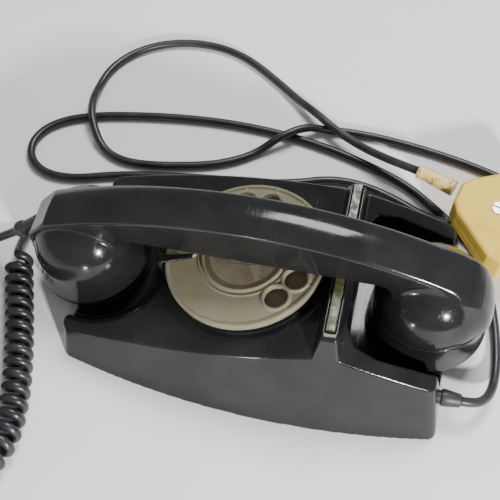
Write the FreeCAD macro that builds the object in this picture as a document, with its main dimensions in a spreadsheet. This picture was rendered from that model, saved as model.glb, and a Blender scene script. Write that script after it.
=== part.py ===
import FreeCAD, Part
import math
import os
from FreeCAD import Placement, Rotation, Vector

# Rotary wall telephone, lying on its back.
# Millimetres.  Origin: back face, under the dial centre.  +X runs up the wall (mouthpiece end at -X,
# earpiece end at +X), +Y across the body, +Z out of the wall.

doc = FreeCAD.newDocument("wall_phone")
sheet = doc.addObject("Spreadsheet::Sheet", "dimensions")

DIMENSIONS = {
    # body shell
    "body_left": -84, "body_right": 104, "body_middle": 15, "half_left": 52, "half_middle": 65,
    "half_right": 58, "wall_slope": 0.39, "end_slope": 0.2, "shell_wall": 2.5, "corner_round": 3.5,
    "front_tilt": 12.05, "front_height": 37, "rib_left": 39.5, "rib_right": 51.5, "rib_height": 57,
    "rib_flat_left": 41.8, "rib_flat_right": 49.2, "lip_height": 45.3, "lip_end_height": 31.5,
    "recess_floor": 10.5, "recess_half": 33, "recess_slope": 0.2, "scoop_floor": 6.5,
    "scoop_x": -76, "scoop_size": 25, "scoop_straight": 8, "scoop_slope": 0.5,
    "plate_thick": 2, "plate_gap": 1.3, "mount_spacing_x": 92, "mount_spacing_y": 60,
    "mount_hole": 2.5, "boss_x": -62, "boss_y": 43, "boss_size": 4,
    # hook switch
    "slot_left": 43, "slot_right": 47.6, "slot_near": -38, "slot_far": 42, "bar_gap": 0.4,
    "bar_top": 58.4, "bar_bottom": 44, "pin_size": 1.2,
    # dial
    "wheel_size": 40, "wheel_low": 5.6, "wheel_high": 7.6, "hole_circle": 29.7, "finger_hole": 5.6,
    "ring_wall": 1.4, "ring_high": 8.4, "first_hole": -23, "hole_step": 25.1, "bezel_high": 2.6,
    "plate_high": 3.4, "plate_size": 38, "case_size": 35.6, "case_depth": 18, "case_wall": 1.3,
    "hub_size": 21.5, "hub_high": 9.2, "card_size": 17.5, "card_thick": 0.3, "cover_thick": 0.8,
    "shaft_size": 3, "main_teeth": 60, "pinion_teeth": 12, "wheel_teeth": 30, "governor_teeth": 10,
    "main_module": 0.7, "fine_module": 0.5, "gear_play": 0.12,
    # handset
    "hand_x": 3.5, "hand_z": 31.5, "hand_tilt": 2.3, "cup_offset": 86, "cup_size": 27.5, "cup_wall": 3,
    "arch_size": 235, "ridge_height": 47.5, "crown": 3.5, "grip_half": 11, "grip_under": 25.5,
    "ear_seam": 0.5, "mouth_seam": -15, "ear_bottom": -23, "mouth_bottom": -19.5, "ear_flare": 1.8,
    "cap_size": 29.4, "capsule_size": 21,
    # cords
    "line_wire": 2.3, "hand_wire": 2, "coil_outer": 7.5, "boot_size": 4,
    # plug
    "plug_low": 12, "plug_high": 28, "pin_wide": 2.4,
}
for row, (alias, number) in enumerate(DIMENSIONS.items(), start=1):
    sheet.set("A%d" % row, alias)
    sheet.set("B%d" % row, str(number))
    sheet.setAlias("B%d" % row, alias)
doc.recompute()


def size(alias):
    """A driving dimension, read from the sheet."""
    return float(sheet.get(alias))


nodes = []


def keep(feature, node):
    """Label a finished sub-part; the label names its file."""
    feature.Label = node
    nodes.append(feature)
    return feature


def solid_feature(node, shape, placement=Placement()):
    """A sub-part whose shape is built directly, then placed."""
    feature = doc.addObject("Part::Feature", "shape_" + node)
    feature.Shape = shape
    feature.Placement = placement * shape.Placement
    return keep(feature, node)


def bind(feature, bindings):
    """Tie properties to expressions on the sheet; a plain number is set as it is."""
    for prop, value in bindings.items():
        if isinstance(value, str):
            feature.setExpression(prop, value)
        else:
            setattr(feature, prop, value)


def cylinder(name, radius, height, centre, direction=Vector(0, 0, 1), base=Placement()):
    """Part::Cylinder from a base centre along a direction, inside a parent placement."""
    feature = doc.addObject("Part::Cylinder", name)
    bind(feature, {"Radius": radius, "Height": height})
    feature.Placement = base * Placement(Vector(*centre), Rotation(Vector(0, 0, 1), direction))
    return feature


def block(name, lengths, corner, base=Placement()):
    """Part::Box from its lowest corner, inside a parent placement."""
    feature = doc.addObject("Part::Box", name)
    bind(feature, dict(zip(("Length", "Width", "Height"), lengths)))
    feature.Placement = base * Placement(Vector(*corner), Rotation())
    return feature


def cut(name, base, tool):
    feature = doc.addObject("Part::Cut", name)
    feature.Base = base
    feature.Tool = tool
    return feature


def fuse(name, shapes):
    feature = doc.addObject("Part::MultiFuse", name)
    feature.Shapes = shapes
    return feature


def group(name, shapes):
    """Separate solids that share one node, such as identical fasteners."""
    feature = doc.addObject("Part::Compound", name)
    feature.Links = shapes
    return feature


def polygon_face(points, plane="XY"):
    """Flat face from corner points given in the XY or XZ plane."""
    if plane == "XY":
        corners = [Vector(a, b, 0) for a, b in points]
    else:
        corners = [Vector(a, 0, b) for a, b in points]
    return Part.Face(Part.makePolygon(corners + [corners[0]]))


def ring_shape(outer, inner, low, high):
    """Flat ring about Z."""
    ring = Part.makeCylinder(outer, high - low, Vector(0, 0, low))
    if inner > 0:
        ring = ring.cut(Part.makeCylinder(inner, high - low + 2, Vector(0, 0, low - 1)))
    return ring


def origin_plane(body, role):
    return next(item for item in body.Origin.OriginFeatures if item.Role == role)


def new_sketch(body, name):
    """Sketch on the body's own XY plane."""
    sketch = body.newObject("Sketcher::SketchObject", name)
    sketch.AttachmentSupport = [(origin_plane(body, "XY_Plane"), "")]
    sketch.MapMode = "FlatFace"
    return sketch


def sketch_polygon(sketch, points):
    """Closed outline of straight edges."""
    corners = [Vector(a, b, 0) for a, b in points]
    for start, end in zip(corners, corners[1:] + corners[:1]):
        sketch.addGeometry(Part.LineSegment(start, end), False)


def sketch_circle(sketch, centre, radius):
    sketch.addGeometry(Part.Circle(Vector(centre[0], centre[1], 0), Vector(0, 0, 1), radius), False)


def pad(body, sketch, name, length):
    """Pad a sketch upwards by an expression or a number."""
    feature = body.newObject("PartDesign::Pad", name)
    feature.Profile = sketch
    bind(feature, {"Length": length})
    sketch.Visibility = False
    return feature


DIAL_FRAME = Placement(Vector(0, 0, size("front_height")), Rotation(Vector(0, 1, 0), -size("front_tilt")))
HAND_FRAME = Placement(
    Vector(size("hand_x"), 0, size("hand_z")), Rotation(Vector(0, 1, 0), -size("hand_tilt"))
)
TILT = math.tan(math.radians(size("front_tilt")))


def front_z(x):
    """Height of the tilted front plane."""
    return size("front_height") + x * TILT


# ---------------------------------------------------------------- body shell

def outline_wire(inset, height):
    """Body outline at a height: bowed long sides, straight ends, both leaning inwards."""
    slope = size("wall_slope") * height + inset
    left = size("body_left") + inset
    right = size("body_right") - size("end_slope") * height - inset
    middle = size("body_middle")
    near = [(left, size("half_left") - slope), (middle, size("half_middle") - slope),
            (right, size("half_right") - slope)]
    low = [Vector(x, -y, height) for x, y in near]
    high = [Vector(x, y, height) for x, y in near]
    edges = [Part.Arc(*low).toShape(), Part.LineSegment(low[2], high[2]).toShape(),
             Part.Arc(high[2], high[1], high[0]).toShape(), Part.LineSegment(high[0], low[0]).toShape()]
    return Part.Wire(edges)


def bowed_block(inset, low, high):
    """Solid between two outlines, with its four upright edges rounded."""
    solid = Part.makeLoft([outline_wire(inset, low), outline_wire(inset, high)], True, True)
    upright = [e for e in solid.Edges
               if abs(e.Vertexes[0].Z - e.Vertexes[-1].Z) > (high - low) * 0.9]
    return solid.makeFillet(size("corner_round") - inset, upright)


def side_slab(drop, inset):
    """Side profile of the body (tilted front, cradle rib, earpiece lip) as a slab across the body."""
    left = size("body_left") - 2
    right = size("body_right") + 2
    top = [
        (left, front_z(left) - drop),
        (size("rib_left") + inset, front_z(size("rib_left") + inset) - drop),
        (size("rib_flat_left") + inset, size("rib_height") - drop),
        (size("rib_flat_right") - inset, size("rib_height") - drop),
        (size("rib_right") - inset, size("lip_height") - drop),
        (right, size("lip_end_height") - drop - (right - 98) * 0.3),
    ]
    face = polygon_face([(right, -1), (left, -1)] + top, "XZ")
    face.translate(Vector(0, -100, 0))
    return face.extrude(Vector(0, 200, 0))


def recess_outline(grow, height):
    """Outline of the earpiece recess at a height above its floor; it runs out of the right end."""
    left = size("rib_right") + 0.8 - grow
    half = size("recess_half") + grow + size("recess_slope") * height
    near = [(left, half - 14), (left + 4.7, half - 4.5), (left + 15.7, half), (130, half)]
    far = [(x, -y) for x, y in reversed(near)]
    corners = [Vector(x, y, size("recess_floor") - grow + height) for x, y in near + far]
    return Part.makePolygon(corners + corners[:1])


def recess_tool(grow):
    """Room for the earpiece cup, with walls that lean outwards."""
    return Part.makeLoft([recess_outline(grow, 0), recess_outline(grow, 60)], True, True)


def scoop_tool(grow):
    """Room for the mouthpiece cup: two leaning cones side by side and the straight part between them."""
    low = size("scoop_floor") - grow
    floor = size("scoop_size") + grow
    deep = 36
    rim = floor + size("scoop_slope") * deep
    middle = size("scoop_x")
    straight = size("scoop_straight")
    between = polygon_face([(middle - floor, low), (middle + floor, low), (middle + rim, low + deep),
                            (middle - rim, low + deep)], "XZ")
    between.translate(Vector(0, -straight, 0))
    scoop = between.extrude(Vector(0, 2 * straight, 0))
    for side in (-1, 1):
        scoop = scoop.fuse(Part.makeCone(floor, rim, deep, Vector(middle, side * straight, low)))
    return scoop


outer = bowed_block(0, 0, 60).common(side_slab(0, 0))
hollow = bowed_block(size("shell_wall"), -1, 60).common(side_slab(size("shell_wall"), 1.8))
walls = recess_tool(size("shell_wall")).fuse(scoop_tool(size("shell_wall")))
boss_tops = []
for side in (-1, 1):
    post = Part.makeCylinder(size("boss_size"), 20, Vector(size("boss_x"), side * size("boss_y"), 2.2))
    boss_tops.append(post.common(outer))
housing = outer.cut(hollow).fuse(walls.common(outer)).fuse(boss_tops)
housing = housing.cut(recess_tool(0)).cut(scoop_tool(0))
opening = Part.makeCylinder(size("case_size") + 0.3, 20, Vector(0, 0, -12))
opening.Placement = DIAL_FRAME
slot = Part.makeBox(size("slot_right") - size("slot_left"), size("slot_far") - size("slot_near"), 30,
                    Vector(size("slot_left"), size("slot_near"), 40))
boot_hole = Part.makeCylinder(size("boot_size") - 0.6, 20, Vector(92, -40, 15), Vector(1, 0, 0))
tail_hole = Part.makeCylinder(size("hand_wire") + 1, 20, Vector(-92, 40, 8), Vector(1, 0, 0))
housing = housing.cut(opening).cut(slot).cut(boot_hole).cut(tail_hole)
for side in (-1, 1):
    hole = Part.makeCylinder(1.2, 12, Vector(size("boss_x"), side * size("boss_y"), 0))
    housing = housing.cut(hole)
print("housing", housing.isValid(), len(housing.Solids), housing.Volume)
solid_feature("housing", housing.removeSplitter())


# ---------------------------------------------------------------- back plate and its fasteners

body = doc.addObject("PartDesign::Body", "plate_body")
sketch = new_sketch(body, "plate_outline")
inset = size("shell_wall") + size("plate_gap")
left = size("body_left") + inset
right = size("body_right") - inset
near_side = [
    Vector(left, -size("half_left") + inset, 0),
    Vector(size("body_middle"), -size("half_middle") + inset, 0),
    Vector(right, -size("half_right") + inset, 0),
]
far_side = [Vector(v.x, -v.y, 0) for v in near_side]
sketch.addGeometry(Part.Arc(*near_side), False)
sketch.addGeometry(Part.LineSegment(near_side[2], far_side[2]), False)
sketch.addGeometry(Part.Arc(*far_side), False)
sketch.addGeometry(Part.LineSegment(far_side[0], near_side[0]), False)
plate_pad = pad(body, sketch, "plate_pad", "dimensions.plate_thick")
doc.recompute()
corner_edges = []
for number, edge in enumerate(plate_pad.Shape.Edges, start=1):
    if abs(edge.Vertexes[0].Z - edge.Vertexes[-1].Z) > 1:
        corner_edges.append("Edge%d" % number)
plate_round = body.newObject("PartDesign::Fillet", "plate_round")
plate_round.Base = (plate_pad, corner_edges)
plate_round.Radius = size("corner_round") - 2
sketch = new_sketch(body, "plate_holes")
for x_side in (-1, 1):
    for y_side in (-1, 1):
        spot = (x_side * size("mount_spacing_x") / 2, y_side * size("mount_spacing_y") / 2)
        sketch_circle(sketch, spot, size("mount_hole"))
for side in (-1, 1):
    sketch_circle(sketch, (size("boss_x"), side * size("boss_y")), 1.7)
holes = body.newObject("PartDesign::Pocket", "plate_hole_cut")
holes.Profile = sketch
holes.Type = "ThroughAll"
holes.Reversed = True
keep(body, "back_plate")

screws = []
for side in (-1, 1):
    spot = (size("boss_x"), side * size("boss_y"))
    shank = cylinder("cover_shank", 1.2, 9, (spot[0], spot[1], 0.3))
    head = cylinder("cover_head", 1.6, 1.5, (spot[0], spot[1], 0.3))
    screws.append(fuse("cover_screw", [shank, head]))
keep(group("cover_screw_set", screws), "cover_screws")

# ---------------------------------------------------------------- dial, fixed pieces

D = DIAL_FRAME
case_outer = cylinder("case_outer", "dimensions.case_size", "dimensions.case_depth - 0.2",
                      (0, 0, -size("case_depth") + 0.2), base=D)
case_inner = cylinder("case_inner", "dimensions.case_size - dimensions.case_wall", 40,
                      (0, 0, -size("case_depth") + 0.2 + size("case_wall")), base=D)
keep(cut("case_shell", case_outer, case_inner), "dial_case")

bezel_outer = cylinder("bezel_outer", 40, "dimensions.bezel_high - 0.1", (0, 0, 0.1), base=D)
bezel_inner = cylinder("bezel_inner", "dimensions.case_size - dimensions.case_wall", 10, (0, 0, -2), base=D)
keep(cut("bezel_ring", bezel_outer, bezel_inner), "dial_bezel")

plate_outer = cylinder(
    "number_disc", "dimensions.plate_size", "dimensions.plate_high - dimensions.bezel_high",
    (0, 0, size("bezel_high")), base=D,
)
plate_inner = cylinder("number_bore", 5, 10, (0, 0, 0), base=D)
keep(cut("number_ring", plate_outer, plate_inner), "number_plate")


def finger_stop_shape():
    """Hook that stands on the bezel's rim and reaches in over the finger holes."""
    angle = math.radians(-168)
    outwards = Vector(math.cos(angle), math.sin(angle), 0)
    across = Vector(-outwards.y, outwards.x, 0)
    arm = Part.makeBox(17.5, 4.4, 1.4, Vector(25.5, -2.2, 9.2))
    foot = Part.makeBox(2.2, 7, 10.4, Vector(40.8, -3.5, 0.2))
    hook = arm.fuse(foot).cut(Part.makeCylinder(41.5, 3.2, Vector(0, 0, 0)))
    hook.Placement = Placement(Vector(), Rotation(outwards, across, Vector(0, 0, 1), "XYZ"))
    return hook


solid_feature("finger_stop", finger_stop_shape(), D)

# ---------------------------------------------------------------- dial wheel and what turns with it


def gear_shape(teeth, module, bore, low, high, turn=0):
    """Spur gear with involute flanks, thinned by the play, standing on Z."""
    pitch = teeth * module / 2
    pressure = math.radians(22)
    base = pitch * math.cos(pressure)
    tip = pitch + module * 0.85
    root = pitch - module * 1.2
    half = math.pi / (2 * teeth) - size("gear_play") / pitch
    spread = math.tan(pressure) - pressure
    points = []
    for tooth in range(teeth):
        middle = 2 * math.pi * tooth / teeth + turn
        flank = []
        for part in range(4):
            radius = max(base, root) + (tip - max(base, root)) * part / 3
            rolled = math.acos(min(1, base / radius))
            flank.append((radius, half + spread - (math.tan(rolled) - rolled)))
        for radius, offset in [(root, flank[0][1])] + flank:
            points.append((radius * math.cos(middle - offset), radius * math.sin(middle - offset)))
        for radius, offset in flank[::-1] + [(root, flank[0][1])]:
            points.append((radius * math.cos(middle + offset), radius * math.sin(middle + offset)))
    gear = polygon_face(points).extrude(Vector(0, 0, high - low))
    gear.translate(Vector(0, 0, low))
    if bore > 0:
        gear = gear.cut(Part.makeCylinder(bore, high - low + 2, Vector(0, 0, low - 1)))
    return gear


def hole_angle(number):
    """Place of a finger hole; number 0 is the digit next to the blank sector."""
    return math.radians(size("first_hole") + size("hole_step") * (number - 1))


def finger_wheel_shape():
    """Clear disc with ten ringed finger holes, a raised rim, webs and a hub."""
    radius = size("wheel_size")
    low = size("wheel_low")
    high = size("wheel_high")
    wheel = ring_shape(radius, 4, low, high)
    wheel = wheel.fuse(ring_shape(radius, radius - 1.6, low - 1, high + 0.6))
    wheel = wheel.fuse(ring_shape(size("hub_size"), size("hub_size") - 1.4, high - 0.5, size("hub_high")))
    wheel = wheel.fuse(ring_shape(6, 3.2, low - 1.2, high))
    for number in range(10):
        angle = hole_angle(number)
        centre = Vector(size("hole_circle") * math.cos(angle), size("hole_circle") * math.sin(angle), 0)
        collar = Part.makeCylinder(size("finger_hole") + size("ring_wall"), size("ring_high") - low + 0.4,
                                   centre + Vector(0, 0, low - 0.4))
        wheel = wheel.fuse(collar)
    for number in range(10):
        angle = hole_angle(number)
        centre = Vector(size("hole_circle") * math.cos(angle), size("hole_circle") * math.sin(angle), 0)
        wheel = wheel.cut(Part.makeCylinder(size("finger_hole"), 12, centre + Vector(0, 0, low - 2)))
    return wheel


solid_feature("finger_wheel", finger_wheel_shape(), D)
top = size("wheel_high")
card = cylinder("card_disc", "dimensions.card_size", "dimensions.card_thick", (0, 0, top + 0.1), base=D)
keep(card, "centre_card")
cover = cylinder("cover_disc", "dimensions.hub_size - 1.5", "dimensions.cover_thick",
                 (0, 0, top + 0.1 + size("card_thick")), base=D)
keep(cover, "card_cover")
shaft_rod = cylinder("shaft_rod", "dimensions.shaft_size", 23, (0, 0, -15.6), base=D)
keep(shaft_rod, "dial_shaft")
main_gear = gear_shape(int(size("main_teeth")), size("main_module"), size("shaft_size"), -6, -4)
solid_feature("main_gear", main_gear, D)

# ---------------------------------------------------------------- impulse train and governor

pinion_radius = size("pinion_teeth") * size("main_module") / 2
pinion_at = Vector(0, size("main_teeth") * size("main_module") / 2 + pinion_radius, 0)
fine_distance = (size("wheel_teeth") + size("governor_teeth")) * size("fine_module") / 2
governor_turn = math.radians(-150)
governor_reach = Vector(math.cos(governor_turn), math.sin(governor_turn), 0)
governor_at = pinion_at + governor_reach * fine_distance


def placed(offset):
    return D * Placement(offset, Rotation())


pinion_turn = -math.pi / 2 + math.pi / size("pinion_teeth")
pinion = gear_shape(int(size("pinion_teeth")), size("main_module"), 1.5, -6.6, -3.4, pinion_turn)
solid_feature("impulse_pinion", pinion, placed(pinion_at))
second = gear_shape(int(size("wheel_teeth")), size("fine_module"), 1.5, -10.6, -9.2, governor_turn)
solid_feature("second_wheel", second, placed(pinion_at))
cam = polygon_face([(-4.6, -2.6), (4.6, -2.6), (4.6, 2.6), (-4.6, 2.6)]).extrude(Vector(0, 0, 1.2))
cam.translate(Vector(0, 0, -8.6))
cam = cam.cut(Part.makeCylinder(1.5, 4, Vector(0, 0, -9)))
solid_feature("impulse_cam", cam, placed(pinion_at))
rod = cylinder("impulse_rod", 1.5, 13, (0, 0, -15.4), base=placed(pinion_at))
keep(rod, "impulse_shaft")
governor_face = governor_turn + math.pi + math.pi / size("governor_teeth")
governor_gear = gear_shape(int(size("governor_teeth")), size("fine_module"), 0, -11.4, -8.4, governor_face)
spindle = Part.makeCylinder(1.2, 9, Vector(0, 0, -16))
weights = Part.makeBox(9, 2.4, 2, Vector(-4.5, -1.2, -14.6))
weights = weights.cut(Part.makeCylinder(1.2, 4, Vector(0, 0, -15)))
solid_feature("governor_spindle", spindle.fuse(governor_gear), placed(governor_at))
solid_feature("governor_weights", weights, placed(governor_at))
cup = ring_shape(6.6, 5.6, -15.8, -12.4)
solid_feature("governor_cup", cup, placed(governor_at))
spring = ring_shape(9, 4.2, -14.4, -12)
solid_feature("return_spring", spring, D)

contact_block = block("contact_body", (7, 8, 9), (13, 17, -15.8), base=D)
keep(contact_block, "contact_block")
leaves = []
for layer in range(3):
    leaves.append(block("contact_leaf", (6.7, 0.4, 1.2), (6.2, 19 + 1.8 * layer, -8.6), base=D))
keep(group("contact_leaf_set", leaves), "impulse_contacts")

# ---------------------------------------------------------------- hook switch under the rib

gap = size("bar_gap")
bar_length = size("slot_far") - size("slot_near") - 2 * gap
bar_blade = block("bar_blade", ("dimensions.slot_right - dimensions.slot_left - 2 * dimensions.bar_gap",
                                "dimensions.slot_far - dimensions.slot_near - 2 * dimensions.bar_gap",
                                "dimensions.bar_top - dimensions.bar_bottom"),
                  (size("slot_left") + gap, size("slot_near") + gap, size("bar_bottom")))
keep(bar_blade, "hook_bar")
bar_middle = (size("slot_left") + size("slot_right")) / 2
rod = block("plunger_rod", (2, 6, 16), (bar_middle - 1, -3, size("bar_bottom") - 16))
keep(rod, "hook_plunger")
frame_foot = block("switch_foot", (12, 26, 1.5), (39, -13, 2.1))
frame_wall = []
for side in (-1, 1):
    wall = block("switch_wall", (6, 1.2, 26), (41, side * 8 - 0.6, 3))
    hole = cylinder("switch_hole", 1.25, 6, (44, side * 8 - 3, 24), Vector(0, 1, 0))
    frame_wall.append(cut("switch_cheek", wall, hole))
keep(fuse("switch_frame", [frame_foot] + frame_wall), "hook_switch_frame")
pivot = cylinder("lever_pin", "dimensions.pin_size", 19, (44, -9.5, 24), Vector(0, 1, 0))
keep(pivot, "hook_lever_pin")
lever = Part.makeCylinder(3, 10, Vector(44, -5, 24), Vector(0, 1, 0))
lever = lever.fuse(Part.makeBox(8.5, 5, 2, Vector(35.5, -2.5, 21.2)))
lever = lever.cut(Part.makeCylinder(size("pin_size") + 0.1, 14, Vector(44, -7, 24), Vector(0, 1, 0)))
lever = lever.cut(Part.makeBox(3, 8, 8, Vector(bar_middle - 1.3, -4, 25.2)))
solid_feature("hook_lever", lever)
stack = block("stack_block", (3.5, 12, 12), (35.2, -6, 2.1))
keep(stack, "hook_contact_block")

# ---------------------------------------------------------------- ringer

frame_plate = block("ringer_plate", (34, 46, 1.4), (-13, -23, 2.1))
pivot_post = cylinder("clapper_post", 1.2, 11, (11, 0, 2.1))
yoke = block("ringer_yoke", (1.6, 22, 9), (-13, -11, 3.4))
keep(fuse("ringer_base", [frame_plate, pivot_post, yoke]), "ringer_frame")
coils = []
for side in (-1, 1):
    coils.append(cylinder("ringer_coil", 4, 17, (-11.2, side * 7, 8.4), Vector(1, 0, 0)))
keep(group("ringer_coil_set", coils), "ringer_coils")
gongs = []
gong_screws = []
for side in (-1, 1):
    spot = (22, side * 15.5)
    bell = Part.makeCylinder(12.8, 6.4, Vector(spot[0], spot[1], 3.8))
    bell = bell.cut(Part.makeCylinder(11.8, 5.4, Vector(spot[0], spot[1], 3.8)))
    bell = bell.cut(Part.makeCylinder(1.5, 12, Vector(spot[0], spot[1], 2)))
    gongs.append(bell)
    shank = cylinder("gong_shank", 1.5, 9.2, (spot[0], spot[1], 3.6))
    head = cylinder("gong_head", 3, 1.4, (spot[0], spot[1], 10.3))
    gong_screws.append(fuse("gong_screw", [shank, head]))
solid_feature("ringer_gongs", Part.makeCompound(gongs))
keep(group("gong_screw_set", gong_screws), "gong_screws")
clapper = ring_shape(2.6, 1.3, 4, 11.5)
clapper.translate(Vector(11, 0, 0))
bar = Part.makeBox(1.4, 20, 6, Vector(7.2, -10, 5))
stem = Part.makeBox(11, 1, 1.6, Vector(12.5, -0.5, 8.6))
clapper = clapper.fuse(bar).fuse(Part.makeBox(3, 2, 6, Vector(7.6, -1, 5))).fuse(stem)
clapper = clapper.fuse(Part.makeCylinder(1.6, 4, Vector(22, 0, 7.4)))
clapper = clapper.cut(Part.makeCylinder(1.3, 12, Vector(11, 0, 2)))
solid_feature("ringer_clapper", clapper)

# ---------------------------------------------------------------- other inner parts

core = block("coil_core", (26, 11, 3), (-13, -54, 2.2))
core_top = block("coil_core_top", (26, 11, 3), (-13, -54, 15))
core_left = block("coil_core_left", (4, 11, 12), (-13, -54, 4))
core_right = block("coil_core_right", (4, 11, 12), (9, -54, 4))
keep(fuse("coil_frame", [core, core_top, core_left, core_right]), "induction_core")
keep(block("coil_winding", (17.6, 10, 9.4), (-8.8, -53.5, 5.4)), "induction_winding")
keep(cylinder("capacitor_can", 6, 30, (-15, 47, 8.4), Vector(1, 0, 0)), "capacitor")
terminal = block("terminal_body", (30, 12, 4.4), (60, -34, 2.2))
keep(terminal, "terminal_block")
terminal_screws = []
for number in range(5):
    terminal_screws.append(cylinder("terminal_screw", 1.6, 0.8, (63 + 6 * number, -28, 6.7)))
keep(group("terminal_screw_set", terminal_screws), "terminal_screws")
keep(block("clamp_strap", (8, 12, 2), (84, -47, 4.4)), "cord_clamp")

# ---------------------------------------------------------------- handset


def handle_shape():
    """Arched grip: bowed crowned section turned about the arch centre, trimmed by a side profile."""
    arch = size("arch_size")
    ridge = size("ridge_height")
    centre = Vector(0, 0, ridge - arch)
    half = size("grip_half")
    crown = size("crown")
    section = Part.Face(Part.Wire([
        Part.LineSegment(Vector(0, -half, ridge - 70), Vector(0, -half, ridge)).toShape(),
        Part.Arc(Vector(0, -half, ridge), Vector(0, 0, ridge + crown), Vector(0, half, ridge)).toShape(),
        Part.LineSegment(Vector(0, half, ridge), Vector(0, half, ridge - 70)).toShape(),
        Part.LineSegment(Vector(0, half, ridge - 70), Vector(0, -half, ridge - 70)).toShape()]))
    start = section.copy()
    start.rotate(centre, Vector(0, 1, 0), -40)
    arched = start.revolve(centre, Vector(0, 1, 0), 80)
    under = size("grip_under")
    line = [(-112, -3), (-112, 13), (-103.5, 26), (-90, 60), (60, 60), (92, 33)]
    nose = [(size("cup_offset") + 26.5 * math.cos(a), 26.5 * math.sin(a)) for a in
            [math.radians(60 - 14 * n) for n in range(5)]]
    low = [(86, -2), (75, 8), (66.5, 13.5), (62.5, 20), (57, under), (-57, under),
           (-62.5, 20), (-66.5, 13.5), (-75, 8), (-86, -3)]
    profile = polygon_face(line + nose + low, "XZ")
    profile.translate(Vector(0, -half, 0))
    return arched.common(profile.extrude(Vector(0, 2 * half, 0)))


def cup_profile(side, inset):
    """Half outline of one cup down to its seam: a dome, and on the mouthpiece a bell below it."""
    radius = size("cup_size") - inset
    seam = size("ear_seam") if side > 0 else size("mouth_seam")
    points = []
    for step in range(13):
        angle = math.radians(90 - 7.5 * step)
        if radius * math.sin(angle) > seam:
            points.append((radius * math.cos(angle), radius * math.sin(angle)))
    if side < 0:
        points.append((radius + 0.6, -7))
        points.append((size("cap_size") - inset, seam))
    else:
        points.append((radius, seam))
    return points + [(0, seam)]


def cup_shape(side, inset=0):
    """One cup, or the room inside it, turned about its own axis."""
    cup = polygon_face(cup_profile(side, inset), "XZ").revolve(Vector(0, 0, 0), Vector(0, 0, 1), -360)
    cup.translate(Vector(side * size("cup_offset"), 0, 0))
    return cup


shell = handle_shape()
for side in (-1, 1):
    seam = size("ear_seam") if side > 0 else size("mouth_seam")
    under = Part.makeBox(80, 80, 40, Vector(side * size("cup_offset") - 40, -40, seam - 40))
    shell = shell.fuse(cup_shape(side)).cut(cup_shape(side, size("cup_wall"))).cut(under)
H = HAND_FRAME
solid_feature("handset_shell", shell.removeSplitter(), H)


def cap_shape(side):
    """Screwed-on cap: skirt below the seam, rounded front edge, dished front with sound holes."""
    seam = (size("ear_seam") if side > 0 else size("mouth_seam")) - 0.05
    low = size("ear_bottom") if side > 0 else size("mouth_bottom")
    wide = size("cap_size")
    top = wide - (size("ear_flare") if side > 0 else 0)
    edge = 5 if side > 0 else 3.5
    points = [(top - 3, seam), (top, seam)]
    for step in range(6):
        angle = math.radians(18 * step)
        points.append((wide - edge + edge * math.cos(angle), low + edge - edge * math.sin(angle)))
    points += [(10, low + 1.2), (0, low + 1.8), (0, low + 4), (wide - 5, low + 3.6)]
    face = polygon_face(points, "XZ")
    cap = face.revolve(Vector(0, 0, 0), Vector(0, 0, 1), -360)
    rings = ((0, 1), (5, 6), (10, 12)) if side < 0 else ((0, 1), (6, 6))
    for radius, count in rings:
        for number in range(count):
            angle = 2 * math.pi * number / count
            spot = Vector(radius * math.cos(angle), radius * math.sin(angle), low - 2)
            cap = cap.cut(Part.makeCylinder(1.1, 8, spot))
    cap.translate(Vector(side * size("cup_offset"), 0, 0))
    return cap


for side, cap_name, capsule_name in ((1, "earpiece_cap", "receiver_capsule"),
                                     (-1, "mouthpiece_cap", "transmitter_capsule")):
    solid_feature(cap_name, cap_shape(side), H)
    low = size("ear_bottom") if side > 0 else size("mouth_bottom")
    capsule = cylinder(capsule_name + "_disc", "dimensions.capsule_size", 9,
                       (side * size("cup_offset"), 0, low + 4.3), base=H)
    keep(capsule, capsule_name)

boot_low = Vector(-120.4, -2, 26)
boot_high = Vector(-106.8, 0, 37)
boot = Part.makeCone(3.9, 3.1, (boot_low - boot_high).Length, boot_high, boot_low - boot_high)
solid_feature("handset_cord_boot", boot)

# ---------------------------------------------------------------- cords


def cord_shape(node, points, radius):
    """Tube of straight runs joined by tangent arcs; prints every bend and the length."""
    route = [Vector(*p) for p in points]
    edges = []
    at = route[0]
    bends = []
    for before, corner, after in zip(route, route[1:], route[2:]):
        run_in = (corner - before).Length
        run_out = (after - corner).Length
        turn = (corner - before).getAngle(after - corner)
        tangent = 0.45 * min(run_in, run_out)
        bends.append(round(tangent / math.tan(turn / 2), 1))
        into = (before - corner).normalize()
        out = (after - corner).normalize()
        start = corner + into * tangent
        end = corner + out * tangent
        radius_here = tangent / math.tan(turn / 2)
        inward = (into + out).normalize()
        centre = corner + inward * math.hypot(radius_here, tangent)
        middle = centre - inward * radius_here
        edges.append(Part.LineSegment(at, start).toShape())
        edges.append(Part.Arc(start, middle, end).toShape())
        at = end
    edges.append(Part.LineSegment(at, route[-1]).toShape())
    path = Part.Wire(edges)
    section = Part.Wire([Part.Circle(route[0], route[1] - route[0], radius).toShape()])
    tube = path.makePipeShell([section], True, True)
    expected = math.pi * radius * radius * path.Length
    print(node, "length", round(path.Length, 1), "volume share", round(tube.Volume / expected, 4),
          "tightest", min(bends), "bends", bends)
    return tube


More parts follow.
